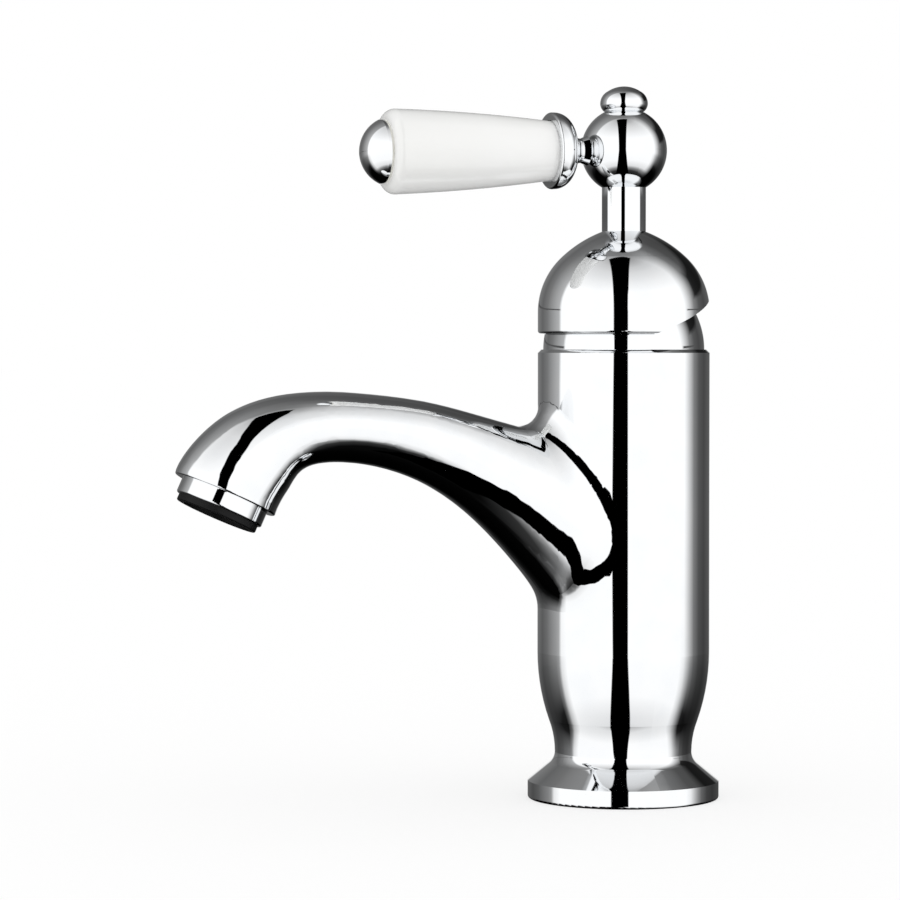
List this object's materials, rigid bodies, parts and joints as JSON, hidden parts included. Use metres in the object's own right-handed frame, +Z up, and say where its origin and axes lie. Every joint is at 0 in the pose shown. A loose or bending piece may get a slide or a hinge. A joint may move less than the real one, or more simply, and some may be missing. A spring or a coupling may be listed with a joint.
{
  "type": "basin mixer tap",
  "caption": "Single-lever basin mixer tap with a fixed arched spout, a lifting and turning dome handle, a porcelain lever grip and a flared round base.",
  "frame": {"origin": "centre of the base, in the plane that rests on the basin's deck", "axes": "+Z up along the barrel's axis; the spout and the lever point along -Y, towards the user; +X is the user's right, the cold side"},
  "size_m": [0.0534, 0.1552, 0.1983],
  "materials": {
    "chrome": "mirror polished chrome plating on brass",
    "brass": "plain machined",
    "steel": "plain turned stainless steel",
    "rubber": "matt black",
    "cartridge_plastic": "satin moulded acetal",
    "carrier_plastic": "satin moulded nylon",
    "disc_ceramic": "lapped alumina",
    "washer_nylon": "satin nylon",
    "porcelain": "glossy white glaze",
    "aerator_plastic": "satin black moulded acetal"
  },
  "bodies": {
    "body": {"tap_body": "chrome", "base_gasket": "rubber", "cartridge_base": "cartridge_plastic", "inlet_seals": "rubber", "disc_seals": "rubber", "fixed_disc": "disc_ceramic", "cartridge_housing": "cartridge_plastic", "retaining_nut": "brass", "ball_cover": "chrome", "aerator_housing": "chrome", "aerator_insert": "aerator_plastic", "aerator_washer": "rubber"},
    "rotor": {"rotor": "carrier_plastic", "rotor_o_ring": "rubber", "spindle_pin": "steel"},
    "handle": {"spindle": "brass", "dome_cap": "chrome", "handle_screw": "steel", "hub_stem": "chrome", "finial": "chrome", "lever_stud": "steel", "lever_collar": "chrome", "inner_lever_washer": "washer_nylon", "porcelain_grip": "porcelain", "outer_lever_washer": "washer_nylon", "lever_end_button": "chrome"},
    "disc_slider": {"disc_carrier": "carrier_plastic", "moving_disc": "disc_ceramic"}
  },
  "joints": [
    {"name": "temperature_swivel", "type": "hinge", "parent": "body", "child": "rotor", "pos_m": [0, 0, 0.1252], "axis": [0, 0, 1], "range_deg": [-45, 45]},
    {"name": "flow_lift", "type": "hinge", "parent": "rotor", "child": "handle", "pos_m": [0, 0, 0.1252], "axis": [-1, 0, 0], "range_deg": [0, 17]},
    {"name": "disc_slide", "type": "slide", "parent": "rotor", "child": "disc_slider", "axis": [0, -1, 0], "range_m": [0, 0.0037]}
  ],
  "couplings": [
    {"joint": "disc_slide", "follows": "flow_lift", "m_per_rad": 0.012268}
  ]
}
